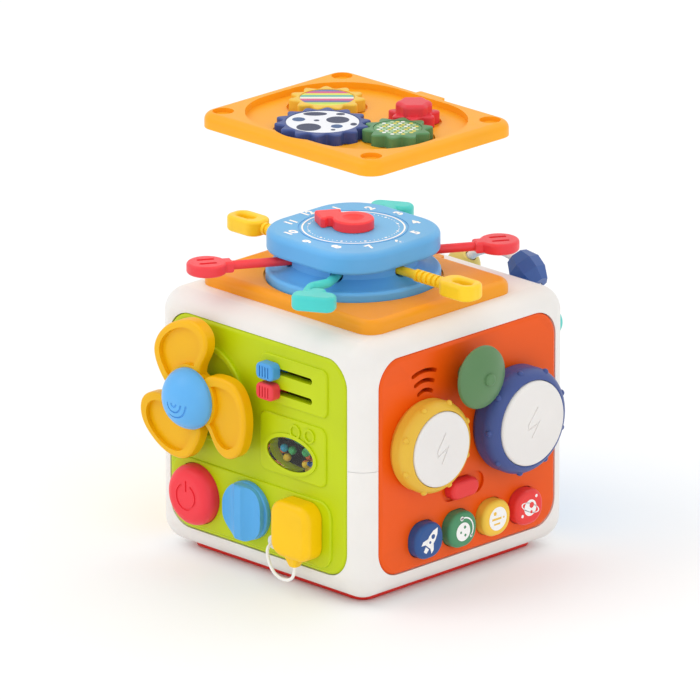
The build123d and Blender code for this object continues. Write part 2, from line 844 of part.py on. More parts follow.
with BuildPart() as mode_switch:
    with BuildSketch(piece_plane("right", *switch_centre, panel_face - 1.3)):
        SlotOverall(21, 10.5)
    extrude(amount=6)
    fillet(mode_switch.faces().sort_by(Axis.X)[-1].edges(), 2.2)
    with BuildSketch(piece_plane("right", *switch_centre, 73.6)):
        RectangleRounded(6, 4, 1)
    extrude(amount=panel_face - 73.6)
    with BuildSketch(piece_plane("right", *switch_centre, 73.6)):
        RectangleRounded(9, 8, 1)
    extrude(amount=2)
write(mode_switch, "mode_switch")


def key(y):
    """Squircle key with a flange behind the panel."""
    with BuildPart() as cap:
        with BuildSketch(piece_plane("right", y, key_level, 75)):
            RectangleRounded(*key_size, key_corner)
        extrude(amount=11.4)
        fillet(cap.faces().sort_by(Axis.X)[-1].edges(), 2.6)
        with BuildSketch(piece_plane("right", y, key_level, 73.6)):
            RectangleRounded(key_size[0] + 3, key_size[1] + 3, key_corner)
        extrude(amount=1.9)
        with BuildSketch(piece_plane("right", y, key_level, 69)):
            Circle(3)
        extrude(amount=6)
    return cap


for name, y in zip(("key_navy", "key_green", "key_yellow", "key_red"), key_row):
    write(key(y), name)

# ---- electronics inside ----
with BuildPart() as circuit_board:
    with BuildSketch(side_plane("right", 62)):
        with Locations((3, 33)):
            RectangleRounded(112, 34, 2)
    extrude(amount=1.6)
    with BuildSketch(side_plane("right", 63.6)):
        with Locations(*[(y, key_level) for y in key_row]):
            Circle(3)
    extrude(amount=1.6)
    with BuildSketch(side_plane("right", 59.4)):
        with Locations((-10, 34), (22, 30)):
            Rectangle(12, 12)
    extrude(amount=2.6)
write(circuit_board, "circuit_board")

with BuildPart() as speaker:
    with BuildSketch(piece_plane("right", -46, 111, 56)):
        Circle(12)
    extrude(amount=8)
    with BuildSketch(piece_plane("right", -46, 111, 64)):
        Circle(18)
    extrude(amount=panel_back - fit_gap - 64)
write(speaker, "speaker")

# =====================================================================================
# Top: seated board, saucer, clock and pull strings
# =====================================================================================
latch_width = 19.0


def board_slab(low, thickness):
    """Top board: rounded square slab with rolled upper edge and a latch tab."""
    with BuildPart() as slab:
        with BuildSketch(Plane.XY.offset(low)):
            with Locations(board_centre):
                RectangleRounded(board_width, board_depth, board_corner)
        extrude(amount=thickness)
        fillet(slab.faces().sort_by(Axis.Z)[-1].edges(), board_edge)
        with BuildSketch(Plane.XY.offset(low + 1)):
            with Locations((0, board_centre[1] + board_depth / 2 + 1)):
                RectangleRounded(latch_width, 4.4, 1.4)
        extrude(amount=thickness - 2.4)
    return slab.part


slab = board_slab(body_top, board_thickness)
with BuildPart() as top_board:
    add(slab)
    with BuildSketch(Plane.XY.offset(saucer_low - 1.4)):
        with Locations(saucer_centre):
            Circle(saucer_radius + 1.2)
    extrude(amount=3, mode=Mode.SUBTRACT)
    with BuildSketch(Plane.XY.offset(body_top - 1)):
        with Locations(saucer_centre):
            Circle(24)
    extrude(amount=12, mode=Mode.SUBTRACT)
    with BuildSketch(Plane.XY.offset(saucer_low - 1.4)):
        with Locations((-52.5, saucer_centre[1])):
            SlotOverall(7, 4, rotation=90)
    extrude(amount=3, mode=Mode.SUBTRACT)
write(top_board, "top_board")

seat_z = saucer_low - 1.4 + fit_gap
neck_top = 171.6
cavity_low = 157.6
string_turns = {"yellow": 0.5, "red": 59.0, "teal": 120.0}
saucer_axis = Axis((saucer_centre[0], saucer_centre[1], 0), (0, 0, 1))
saucer_plane = Plane(origin=(saucer_centre[0], saucer_centre[1], 0), x_dir=(1, 0, 0), z_dir=(0, -1, 0))


def string_plane(turn, level=string_level):
    """Upright plane along a pull string: x is out along it and y is up."""
    across = (cos(radians(turn)), sin(radians(turn)), 0)
    facing = (sin(radians(turn)), -cos(radians(turn)), 0)
    return Plane(origin=(saucer_centre[0], saucer_centre[1], level), x_dir=across, z_dir=facing)


def string_end_plane(turn, reach):
    """Plane across a pull string, at a distance from the saucer's middle, facing out."""
    out = Vector(cos(radians(turn)), sin(radians(turn)), 0)
    centre = Vector(saucer_centre[0], saucer_centre[1], string_level)
    return Plane(origin=centre + out * reach, x_dir=(-out.Y, out.X, 0), z_dir=out)


with BuildPart() as saucer_base:
    with BuildSketch(saucer_plane):
        with BuildLine():
            Polyline((0, seat_z), (saucer_radius, seat_z), (saucer_radius, 158.8))
            ThreePointArc((saucer_radius, 158.8), (saucer_radius - 0.8, 160.0), (saucer_radius - 2.4, 160.4))
            ThreePointArc((saucer_radius - 2.4, 160.4), (38.6, 161.6), (neck_radius, 164.0))
            Polyline((neck_radius, 164.0), (neck_radius, neck_top), (neck_bore, neck_top))
            Polyline((neck_bore, neck_top), (neck_bore, cavity_low), (0, cavity_low), (0, seat_z))
        make_face()
    revolve(axis=saucer_axis)
    for turn in string_turns.values():
        for side in (turn, turn + 180):
            with BuildSketch(string_end_plane(side, neck_bore - 3)):
                Circle(string_radius + 1.1)
            extrude(amount=8, mode=Mode.SUBTRACT)
write(saucer_base, "saucer_base")

hand_pin_radius = 3.0
disc_ceiling = 176.2
with BuildPart() as clock_disc:
    with BuildSketch(Plane.XY.offset(disc_low)):
        with Locations(saucer_centre):
            RectangleRounded(2 * disc_half, 2 * disc_half, disc_corner)
    extrude(amount=disc_top - disc_low)
    fillet(clock_disc.faces().sort_by(Axis.Z)[-1].edges(), 3.6)
    fillet(clock_disc.faces().sort_by(Axis.Z)[0].edges(), 2.2)
    with BuildSketch(Plane.XY.offset(disc_low)):
        with Locations(saucer_centre):
            Circle(neck_radius + fit_gap)
    extrude(amount=neck_top + fit_gap - disc_low, mode=Mode.SUBTRACT)
    with BuildSketch(Plane.XY.offset(disc_low)):
        with Locations(saucer_centre):
            Circle(neck_bore)
    extrude(amount=disc_ceiling - disc_low, mode=Mode.SUBTRACT)
    with BuildSketch(Plane.XY.offset(disc_low)):
        with Locations(saucer_centre):
            Circle(hand_pin_radius + bearing_gap)
    extrude(amount=disc_top - disc_low, mode=Mode.SUBTRACT)
    with BuildSketch(Plane.XY.offset(disc_top - 0.4)):
        with Locations(saucer_centre):
            Circle(29.9)
            Circle(29.1, mode=Mode.SUBTRACT)
    extrude(amount=1, mode=Mode.SUBTRACT)
write(clock_disc, "clock_disc")

hand_low = disc_top + move_gap
hand_top = 188.0
hand_turn = 195.0
with BuildPart() as clock_hand:
    hand_plane = Plane(
        origin=(saucer_centre[0], saucer_centre[1], hand_low),
        x_dir=(cos(radians(hand_turn)), sin(radians(hand_turn)), 0),
        z_dir=(0, 0, 1),
    )
    with BuildSketch(hand_plane):
        Circle(11.2)
        with BuildLine():
            Polyline((0, 5.4), (12.5, 5.4), (12.5, 11.6), (24.6, 0), (12.5, -11.6), (12.5, -5.4), (0, -5.4))
            Line((0, -5.4), (0, 5.4))
        make_face()
    extrude(amount=hand_top - hand_low)
    fillet(clock_hand.edges().filter_by(Axis.Z), 1.6)
    fillet(clock_hand.faces().sort_by(Axis.Z)[-1].edges(), 1.2)
    with Locations((saucer_centre[0], saucer_centre[1], hand_top + 8.6)):
        Sphere(10.6, mode=Mode.SUBTRACT)
    with BuildSketch(Plane.XY.offset(disc_ceiling)):
        with Locations(saucer_centre):
            Circle(hand_pin_radius)
    extrude(amount=hand_low + 1 - disc_ceiling)
write(clock_hand, "clock_hand")


# Pull strings. Each runs right through the saucer; inside it they cross at three levels.
lane_half = 15.0
ramp_end = 21.0
head_reach = 81.0


def string_core(name, ends):
    """The string's straight or stepped middle, out to the given reach on each side."""
    turn = string_turns[name]
    lane = string_lanes[name]
    with BuildPart() as core:
        with BuildSketch(string_end_plane(turn, -ends[0])):
            Circle(string_radius)
        if lane == 0:
            extrude(amount=ends[0] + ends[1])
        else:
            with BuildLine(string_plane(turn)) as line:
                FilletPolyline(
                    (-ends[0], 0),
                    (-ramp_end, 0),
                    (-lane_half, lane),
                    (lane_half, lane),
                    (ramp_end, 0),
                    (ends[1], 0),
                    radius=3.2,
                )
            sweep(path=line.wires()[0])
    return core.part


def head_plane(turn, reach, drop=0.0):
    """Level plane at a string's head: x runs out along the string."""
    out = Vector(cos(radians(turn)), sin(radians(turn)), 0)
    centre = Vector(saucer_centre[0], saucer_centre[1], string_level - drop)
    return Plane(origin=centre + out * reach, x_dir=out, z_dir=(0, 0, 1))


string_lanes = {"yellow": -string_lane, "red": 0.0, "teal": string_lane}

yellow_core = string_core("yellow", (72.0, 72.0))
with BuildPart() as string_yellow:
    add(yellow_core)
    for side in (string_turns["yellow"], string_turns["yellow"] + 180):
        # Ribbed outer stretch.
        for index in range(6):
            with BuildSketch(string_end_plane(side, 47.5 + 3.6 * index)):
                Circle(string_radius + 0.9)
            extrude(amount=1.9)
        # Looped head with an oval finger slot.
        with BuildSketch(head_plane(side, head_reach - 1.0, 4.4)):
            RectangleRounded(24, 16, 6.5)
            with Locations((1.5, 0)):
                SlotOverall(12.5, 6, mode=Mode.SUBTRACT)
        extrude(amount=8.8)
    fillet(string_yellow.faces().filter_by(Axis.Z).edges(), 1.8)
write(string_yellow, "string_yellow")

red_core = string_core("red", (72.0, 72.0))
with BuildPart() as string_red:
    add(red_core)
    for side in (string_turns["red"], string_turns["red"] + 180):
        with BuildSketch(head_plane(side, head_reach, 3.2)):
            Circle(11)
            with Locations((-9, 0)):
                Rectangle(10, 9)
        extrude(amount=6.4)
    fillet(string_red.faces().filter_by(Axis.Z).edges(), 1.7)
    for side in (string_turns["red"], string_turns["red"] + 180):
        with BuildSketch(head_plane(side, head_reach, -2.4)):
            with Locations((0, 3.4), (0, -3.4)):
                SlotOverall(10, 2.6)
        extrude(amount=2, mode=Mode.SUBTRACT)
        with BuildSketch(head_plane(side, head_reach, 5.4)):
            Circle(3)
        extrude(amount=3)
write(string_red, "string_red")

wave_reach = 59.0
wave_side = 8.0
teal_core = string_core("teal", (40.0, 74.0))
teal_front = string_turns["teal"] + 180
with BuildPart() as string_teal:
    add(teal_core)
    # The front stretch bends aside and comes back before its head.
    with BuildLine(head_plane(teal_front, 0)) as wave:
        FilletPolyline(
            (39.5, 0),
            (49.0, -1.0),
            (57.0, -wave_side),
            (66.0, -wave_side),
            (75.0, -1.0),
            radius=6,
        )
    with BuildSketch(string_end_plane(teal_front, 39.5)):
        Circle(string_radius)
    sweep(path=wave.wires()[0])
    for side in (string_turns["teal"], teal_front):
        with BuildSketch(head_plane(side, head_reach, 4.4)):
            RectangleRounded(12, 24, 5.2)
            with Locations((-7, 0)):
                RectangleRounded(9, 9, 3)
        extrude(amount=8.8)
    fillet(string_teal.faces().filter_by(Axis.Z).edges(), 2.2)
write(string_teal, "string_teal")


# =====================================================================================
# Bead arch on the back
# =====================================================================================
def arch_tangent(angle):
    """Unit direction along the arch at an angle."""
    turn = radians(angle)
    return Vector(-sin(turn), 0, cos(turn))


def arch_plane_at(angle, along=0.0):
    """Plane across the rod at an angle of the arch."""
    tangent = arch_tangent(angle)
    return Plane(origin=arch_point(angle) + tangent * along, x_dir=(0, 1, 0), z_dir=tangent)


with BuildPart() as arch_rod:
    with BuildLine() as rod_line:
        arc = CenterArc(
            (0, 0), arch_radius, arch_ends[0], arch_ends[1] - arch_ends[0], mode=Mode.PRIVATE
        )
        standing = Plane(
            origin=(arch_centre[0], arch_plane, arch_centre[1]), x_dir=(1, 0, 0), z_dir=(0, -1, 0)
        )
        add(standing.from_local_coords(arc))
    with BuildSketch(arch_plane_at(arch_ends[0])):
        Circle(arch_rod_radius)
    sweep(path=rod_line.wires()[0])
    for angle in arch_ends:
        foot = arch_point(angle)
        with Locations(foot):
            Sphere(arch_rod_radius + 0.6)
        with BuildSketch(piece_plane("back", -foot.X, foot.Z, 74)):
            Circle(arch_rod_radius)
        extrude(amount=arch_plane - 74)
write(arch_rod, "arch_rod")

for name, angle in (("arch_foot_right", arch_ends[0]), ("arch_foot_left", arch_ends[1])):
    foot = arch_point(angle)
    with BuildPart() as arch_foot:
        with BuildSketch(piece_plane("back", -foot.X, foot.Z, panel_back)):
            Circle(5)
        extrude(amount=panel_face + fit_gap - panel_back)
        with BuildSketch(piece_plane("back", -foot.X, foot.Z, panel_face + fit_gap)):
            Circle(8)
        with BuildSketch(piece_plane("back", -foot.X, foot.Z, panel_face + 6)):
            Circle(4.6)
        loft()
        with BuildSketch(piece_plane("back", -foot.X, foot.Z, panel_back)):
            Circle(arch_rod_radius + 0.05)
        extrude(amount=20, mode=Mode.SUBTRACT)
    write(arch_foot, name)


def arch_bead(name, angle, length, widths, sides):
    """Bead threaded on the arch: stations of width along its length, round or faceted."""
    with BuildPart() as bead:
        for index, width in enumerate(widths):
            along = length * (index / (len(widths) - 1) - 0.5)
            with BuildSketch(arch_plane_at(angle, along)):
                if sides:
                    RegularPolygon(width, sides)
                else:
                    Circle(width)
        loft(ruled=bool(sides))
        with BuildLine() as bore_line:
            arc = CenterArc((0, 0), arch_radius, angle - 25, 50, mode=Mode.PRIVATE)
            standing = Plane(
                origin=(arch_centre[0], arch_plane, arch_centre[1]), x_dir=(1, 0, 0), z_dir=(0, -1, 0)
            )
            add(standing.from_local_coords(arc))
        with BuildSketch(arch_plane_at(angle - 25)):
            Circle(arch_rod_radius + 0.6)
        sweep(path=bore_line.wires()[0], mode=Mode.SUBTRACT)
    write(bead, name)


bead_angles = {"arch_bead_cream": 144.8, "arch_bead_navy": 52.8, "arch_bead_teal": 2.2}
arch_bead("arch_bead_cream", bead_angles["arch_bead_cream"], 17.0, (4.6, 8.4, 9.6, 8.4, 4.6), 0)
arch_bead("arch_bead_navy", bead_angles["arch_bead_navy"], 20.6, (6.2, 9.4, 9.8, 6.4), 7)
arch_bead("arch_bead_teal", bead_angles["arch_bead_teal"], 13.0, (5.4, 9.0, 9.0, 5.4), 0)

# =====================================================================================
# Gear board, lifted above the cube
# =====================================================================================
gear_board_top = gear_board_low + gear_board_thickness
dish_floor = gear_board_top - dish_depth
pocket_depth = 1.5
gear_low = dish_floor - pocket_depth + 0.4
gear_pitch = 1.70  # pitch radius per lobe
gear_swing = 2.1  # the lobes' height above and below the pitch circle
gear_play = 0.7  # added to the distance between meshing gears
gear_pin_radius = 2.5


def next_gear(driver, bearing, lobes):
    """Centre, lobes and phase of a gear in mesh with its driver, in a given direction from it."""
    x, y, driver_lobes, driver_phase = driver
    turn = radians(bearing)
    reach = gear_pitch * (driver_lobes + lobes) + gear_play
    driver_arg = driver_lobes * (turn - driver_phase)
    phase = turn + pi - (pi - driver_arg) / lobes
    return (x + reach * cos(turn), y + reach * sin(turn), lobes, phase)


navy_gear = (-0.5, -29.8, 14, 0.0)
yellow_gear = next_gear(navy_gear, 132.0, 11)
green_gear = next_gear(navy_gear, 29.7, 10)
red_gear = next_gear(green_gear, 117.7, 7)
gears = {
    "gear_navy": navy_gear,
    "gear_yellow": yellow_gear,
    "gear_green": green_gear,
    "gear_red": red_gear,
}

slab = board_slab(gear_board_low, gear_board_thickness)
with BuildPart() as gear_board:
    add(slab)
    with BuildSketch(Plane.XY.offset(dish_floor)):
        with Locations(board_centre):
            RectangleRounded(118, 98, 40)
    extrude(amount=10, mode=Mode.SUBTRACT)
    with BuildSketch(Plane.XY.offset(gear_board_top - 2.2)):
        with Locations(board_centre):
            with GridLocations(112, 90, 2, 2):
                Circle(5.8)
    extrude(amount=10, mode=Mode.SUBTRACT)
    with BuildSketch(Plane.XY.offset(dish_floor - pocket_depth)):
        for x, y, lobes, phase in gears.values():
            with Locations((x, y)):
                Circle(gear_pitch * lobes + gear_swing + 1.0)
    extrude(amount=10, mode=Mode.SUBTRACT)
    with BuildSketch(Plane.XY.offset(gear_board_low - 1)):
        with Locations(*[(x, y) for x, y, lobes, phase in gears.values()]):
            Circle(gear_pin_radius)
    extrude(amount=20, mode=Mode.SUBTRACT)
write(gear_board, "gear_board")

with BuildPart() as gear_pins:
    for x, y, lobes, phase in gears.values():
        with BuildSketch(Plane.XY.offset(gear_board_low + 1)):
            with Locations((x, y)):
                Circle(gear_pin_radius - 0.02)
        extrude(amount=gear_low + gear_thickness - 1.6 - gear_board_low - 1)
write(gear_pins, "gear_pins")


def wavy_ring(x, y, mean, swing, waves, phase):
    """Points of a closed wave round a circle, four to each lobe."""
    points = []
    for index in range(4 * waves):
        turn = phase + 2 * pi * index / (4 * waves)
        reach = mean + swing * cos(waves * (turn - phase))
        points.append((x + reach * cos(turn), y + reach * sin(turn)))
    return points


def toy_gear(x, y, lobes, phase):
    """Gear with round lobes, a label seat on top and a blind bore from below."""
    pitch_radius = gear_pitch * lobes
    top = gear_low + gear_thickness
    with BuildPart() as gear:
        with BuildSketch(Plane.XY.offset(gear_low)):
            with BuildLine():
                Spline(*wavy_ring(x, y, pitch_radius, gear_swing, lobes, phase), periodic=True)
            make_face()
        extrude(amount=gear_thickness)
        fillet(gear.faces().sort_by(Axis.Z)[-1].edges(), 1.0)
        with BuildSketch(Plane.XY.offset(gear_low)):
            with Locations((x, y)):
                Circle(gear_pin_radius + bearing_gap)
        extrude(amount=gear_thickness - 1.4, mode=Mode.SUBTRACT)
        if lobes == knob_lobes:
            with BuildSketch(Plane.XY.offset(top - 0.5)):
                with BuildLine():
                    Spline(*wavy_ring(x, y, 9.2, 0.6, 6, phase), periodic=True)
                make_face()
            extrude(amount=knob_height)
            fillet(gear.faces().sort_by(Axis.Z)[-1].edges(), 2.2)
        else:
            with BuildSketch(Plane.XY.offset(top - label_seat)):
                with Locations((x, y)):
                    Circle(pitch_radius - 3.8)
            extrude(amount=2, mode=Mode.SUBTRACT)
    return gear


for name, settings in gears.items():
    write(toy_gear(*settings), name)
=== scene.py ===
from math import cos, pi, radians, sin, tau

import bmesh
import bpy
from mathutils import Matrix, Vector


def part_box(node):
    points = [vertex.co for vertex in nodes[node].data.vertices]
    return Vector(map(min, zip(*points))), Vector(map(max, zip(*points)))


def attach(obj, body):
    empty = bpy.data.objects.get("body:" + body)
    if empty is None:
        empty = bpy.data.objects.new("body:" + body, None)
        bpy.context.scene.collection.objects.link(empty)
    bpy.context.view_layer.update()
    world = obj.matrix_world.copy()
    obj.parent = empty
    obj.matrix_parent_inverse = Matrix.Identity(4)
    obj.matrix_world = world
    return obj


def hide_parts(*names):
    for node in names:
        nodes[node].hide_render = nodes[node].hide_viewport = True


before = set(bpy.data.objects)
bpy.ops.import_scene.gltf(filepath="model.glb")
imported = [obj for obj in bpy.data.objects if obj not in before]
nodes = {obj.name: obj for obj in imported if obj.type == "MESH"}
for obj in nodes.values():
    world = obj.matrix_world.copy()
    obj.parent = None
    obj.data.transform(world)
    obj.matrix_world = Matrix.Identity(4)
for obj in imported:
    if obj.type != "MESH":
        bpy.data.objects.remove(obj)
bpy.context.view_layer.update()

# Baby activity cube, in metres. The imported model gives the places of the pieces; the cord's
# route, the loose beads' middles, the sizes of the prints and the lights are set here.
MM = 0.001
scene = bpy.context.scene
scene.view_settings.view_transform = "Standard"

# ---------------------------------------------------------------- camera
VIEW_AZIMUTH = radians(45.0)
VIEW_ELEVATION = radians(18.7)
VIEW_WIDTH = 0.3777  # width that the picture takes in at the aim point
VIEW_DISTANCE = 6.0  # far away, so that parallel edges stay parallel
AIM = Vector((-0.0048, -0.0048, 0.1110))
SENSOR = 36.0


def make_camera():
    """Long-lens camera towards the corner between the green and orange panels."""
    camera = bpy.data.objects.new("camera", bpy.data.cameras.new("camera"))
    scene.collection.objects.link(camera)
    camera.data.sensor_width = SENSOR
    camera.data.lens = SENSOR * VIEW_DISTANCE / VIEW_WIDTH
    camera.data.clip_end = 100.0
    towards = Vector(
        (
            sin(VIEW_AZIMUTH) * cos(VIEW_ELEVATION),
            -cos(VIEW_AZIMUTH) * cos(VIEW_ELEVATION),
            sin(VIEW_ELEVATION),
        )
    )
    camera.location = AIM + towards * VIEW_DISTANCE
    camera.rotation_euler = (-towards).to_track_quat("-Z", "Y").to_euler()
    scene.camera = camera


make_camera()


# ---------------------------------------------------------------- colours and node helpers
def linear(code):
    """Linear colour of a hex code."""
    values = []
    for start in (0, 2, 4):
        value = int(code[start : start + 2], 16) / 255
        values.append(value / 12.92 if value <= 0.04045 else ((value + 0.055) / 1.055) ** 2.4)
    return tuple(values) + (1.0,)


def shade(colour, factor):
    """The colour made darker or lighter by a factor."""
    return tuple(min(channel * factor, 1.0) for channel in colour[:3]) + (1.0,)


class Graph:
    """Short way to add and link shader nodes in a new material."""

    def __init__(self, name):
        self.material = bpy.data.materials.new(name)
        self.material.use_nodes = True
        self.tree = self.material.node_tree
        self.shader = self.tree.nodes["Principled BSDF"]
        self.place = self.add("ShaderNodeTexCoord").outputs["Object"]

    def add(self, kind, **settings):
        """A new node; settings are its properties."""
        node = self.tree.nodes.new(kind)
        for key, value in settings.items():
            setattr(node, key, value)
        return node

    def link(self, source, target):
        """Link an output to an input."""
        self.tree.links.new(source, target)

    def noise(self, scale, detail=2.0, roughness=0.5):
        """Noise value in object space, scale in cells per metre."""
        node = self.add("ShaderNodeTexNoise")
        node.inputs["Scale"].default_value = scale
        node.inputs["Detail"].default_value = detail
        node.inputs["Roughness"].default_value = roughness
        self.link(self.place, node.inputs["Vector"])
        return node.outputs["Fac"]

    def span(self, value, low, high, start=0.0, end=1.0):
        """Map a value from low..high to start..end."""
        node = self.add("ShaderNodeMapRange")
        names = ("From Min", "From Max", "To Min", "To Max")
        for key, number in zip(names, (low, high, start, end)):
            node.inputs[key].default_value = number
        self.link(value, node.inputs["Value"])
        return node.outputs["Result"]

    def mix(self, amount, first, second):
        """Mix two colours by an output; each colour is a colour or an output."""
        node = self.add("ShaderNodeMix", data_type="RGBA")
        self.link(amount, node.inputs[0])
        for index, colour in ((6, first), (7, second)):
            if isinstance(colour, tuple):
                node.inputs[index].default_value = colour
            else:
                self.link(colour, node.inputs[index])
        return node.outputs[2]

    def total(self, first, second):
        """Sum of two outputs."""
        node = self.add("ShaderNodeMath", operation="ADD")
        self.link(first, node.inputs[0])
        self.link(second, node.inputs[1])
        return node.outputs[0]

    def bump(self, height, strength, distance, below=None):
        """Bump from a height; returns its normal."""
        node = self.add("ShaderNodeBump")
        node.inputs["Strength"].default_value = strength
        node.inputs["Distance"].default_value = distance
        self.link(height, node.inputs["Height"])
        if below is not None:
            self.link(below, node.inputs["Normal"])
        return node.outputs["Normal"]


# ---------------------------------------------------------------- materials
GRAIN_SCALE = 1500.0  # spark-eroded mould texture, cells per metre
FLOW_SCALE = 26.0  # slow variation across a moulding
SPECK_SCALE = 420.0
RIPPLE_SCALE = 90.0  # faint waviness of a moulded face
MOULDED_SPECULAR = 0.28
LENS_IOR = 1.24
GLOW_RADIUS = (0.004, 0.003, 0.002)  # how far red, green and blue light spread inside


def moulded(name, code, rough=0.36, grain=0.16, depth=1.0, glow=0.0):
    """Moulded ABS: satin grain, slow variation of colour and gloss, painted highlight along the
    edges.
    """
    graph = Graph(name)
    shader = graph.shader
    base = linear(code)
    flow = graph.noise(FLOW_SCALE, 3.0)
    speck = graph.noise(SPECK_SCALE, 2.0)
    dark = shade(base, 1.0 - 0.035 * depth)
    colour = graph.mix(graph.span(flow, 0.35, 0.65), dark, shade(base, 1.025))
    colour = graph.mix(graph.span(speck, 0.55, 0.8, 0.0, 0.05), colour, shade(base, 0.86))
    # Painted highlight: sharp edges are made paler, standing in for light caught on rounded edges.
    painted_edge_highlight = graph.add("ShaderNodeNewGeometry").outputs["Pointiness"]
    colour = graph.mix(graph.span(painted_edge_highlight, 0.52, 0.62, 0.0, 0.16), colour, shade(base, 1.25))
    graph.link(colour, shader.inputs["Base Color"])
    slow_gloss = graph.span(flow, 0.3, 0.7, rough - 0.03, rough + 0.04)
    fine_gloss = graph.span(graph.noise(GRAIN_SCALE, 1.0), 0.3, 0.7, -0.03, 0.03)
    gloss = graph.total(slow_gloss, fine_gloss)
    graph.link(gloss, shader.inputs["Roughness"])
    fine = graph.noise(GRAIN_SCALE, 2.0, 0.6)
    ripple = graph.noise(RIPPLE_SCALE, 1.0)
    normal = graph.bump(ripple, 0.10, 0.0008)
    normal = graph.bump(fine, grain, 0.0002, normal)
    graph.link(normal, shader.inputs["Normal"])
    shader.inputs["Specular IOR Level"].default_value = MOULDED_SPECULAR
    shader.inputs["Subsurface Weight"].default_value = glow
    shader.inputs["Subsurface Radius"].default_value = GLOW_RADIUS
    shader.inputs["Subsurface Scale"].default_value = 1.0
    return graph.material


def silicone(name, code):
    """Soft silicone: deeper gloss, faint dust and soft mottling."""
    graph = Graph(name)
    shader = graph.shader
    base = linear(code)
    flow = graph.noise(60.0, 3.0)
    dust = graph.noise(900.0, 3.0, 0.7)
    colour = graph.mix(graph.span(flow, 0.35, 0.65), shade(base, 0.93), shade(base, 1.03))
    colour = graph.mix(graph.span(dust, 0.58, 0.8, 0.0, 0.12), colour, shade(base, 1.3))
    graph.link(colour, shader.inputs["Base Color"])
    graph.link(graph.span(dust, 0.3, 0.7, 0.34, 0.50), shader.inputs["Roughness"])
    graph.link(graph.bump(dust, 0.12, 0.0002), shader.inputs["Normal"])
    shader.inputs["Subsurface Weight"].default_value = 0.12
    shader.inputs["Subsurface Radius"].default_value = GLOW_RADIUS
    shader.inputs["Subsurface Scale"].default_value = 1.0
    shader.inputs["Sheen Weight"].default_value = 0.08
    return graph.material


def steel(name, code, rough=0.3):
    """Turned steel: fine lathe lines and slight staining."""
    graph = Graph(name)
    shader = graph.shader
    base = linear(code)
    stain = graph.noise(240.0, 3.0)
    lines = graph.noise(4200.0, 1.0)
    colour = graph.mix(graph.span(stain, 0.4, 0.7), base, shade(base, 0.8))
    graph.link(colour, shader.inputs["Base Color"])
    graph.link(graph.span(lines, 0.3, 0.7, rough - 0.08, rough + 0.1), shader.inputs["Roughness"])
    graph.link(graph.bump(lines, 0.15, 0.0001), shader.inputs["Normal"])
    shader.inputs["Metallic"].default_value = 1.0
    return graph.material


def clear_plastic(name):
    """Clear window plastic with faint wipe marks."""
    graph = Graph(name)
    shader = graph.shader
    shader.inputs["Base Color"].default_value = (0.97, 0.99, 1.0, 1.0)
    shader.inputs["Transmission Weight"].default_value = 1.0
    shader.inputs["IOR"].default_value = LENS_IOR
    haze = graph.noise(300.0, 3.0, 0.7)
    graph.link(graph.span(haze, 0.4, 0.8, 0.0, 0.04), shader.inputs["Roughness"])
    graph.link(graph.bump(haze, 0.04, 0.0002), shader.inputs["Normal"])
    return graph.material


def ink(name, code, rough=0.5):
    """Pad-printed ink: slightly uneven in cover and gloss."""
    graph = Graph(name)
    shader = graph.shader
    base = linear(code)
    cover = graph.noise(1100.0, 3.0, 0.65)
    colour = graph.mix(graph.span(cover, 0.4, 0.75), base, shade(base, 0.93))
    graph.link(colour, shader.inputs["Base Color"])
    graph.link(graph.span(cover, 0.3, 0.7, rough - 0.06, rough + 0.08), shader.inputs["Roughness"])
    graph.link(graph.bump(cover, 0.10, 0.0001), shader.inputs["Normal"])
    return graph.material


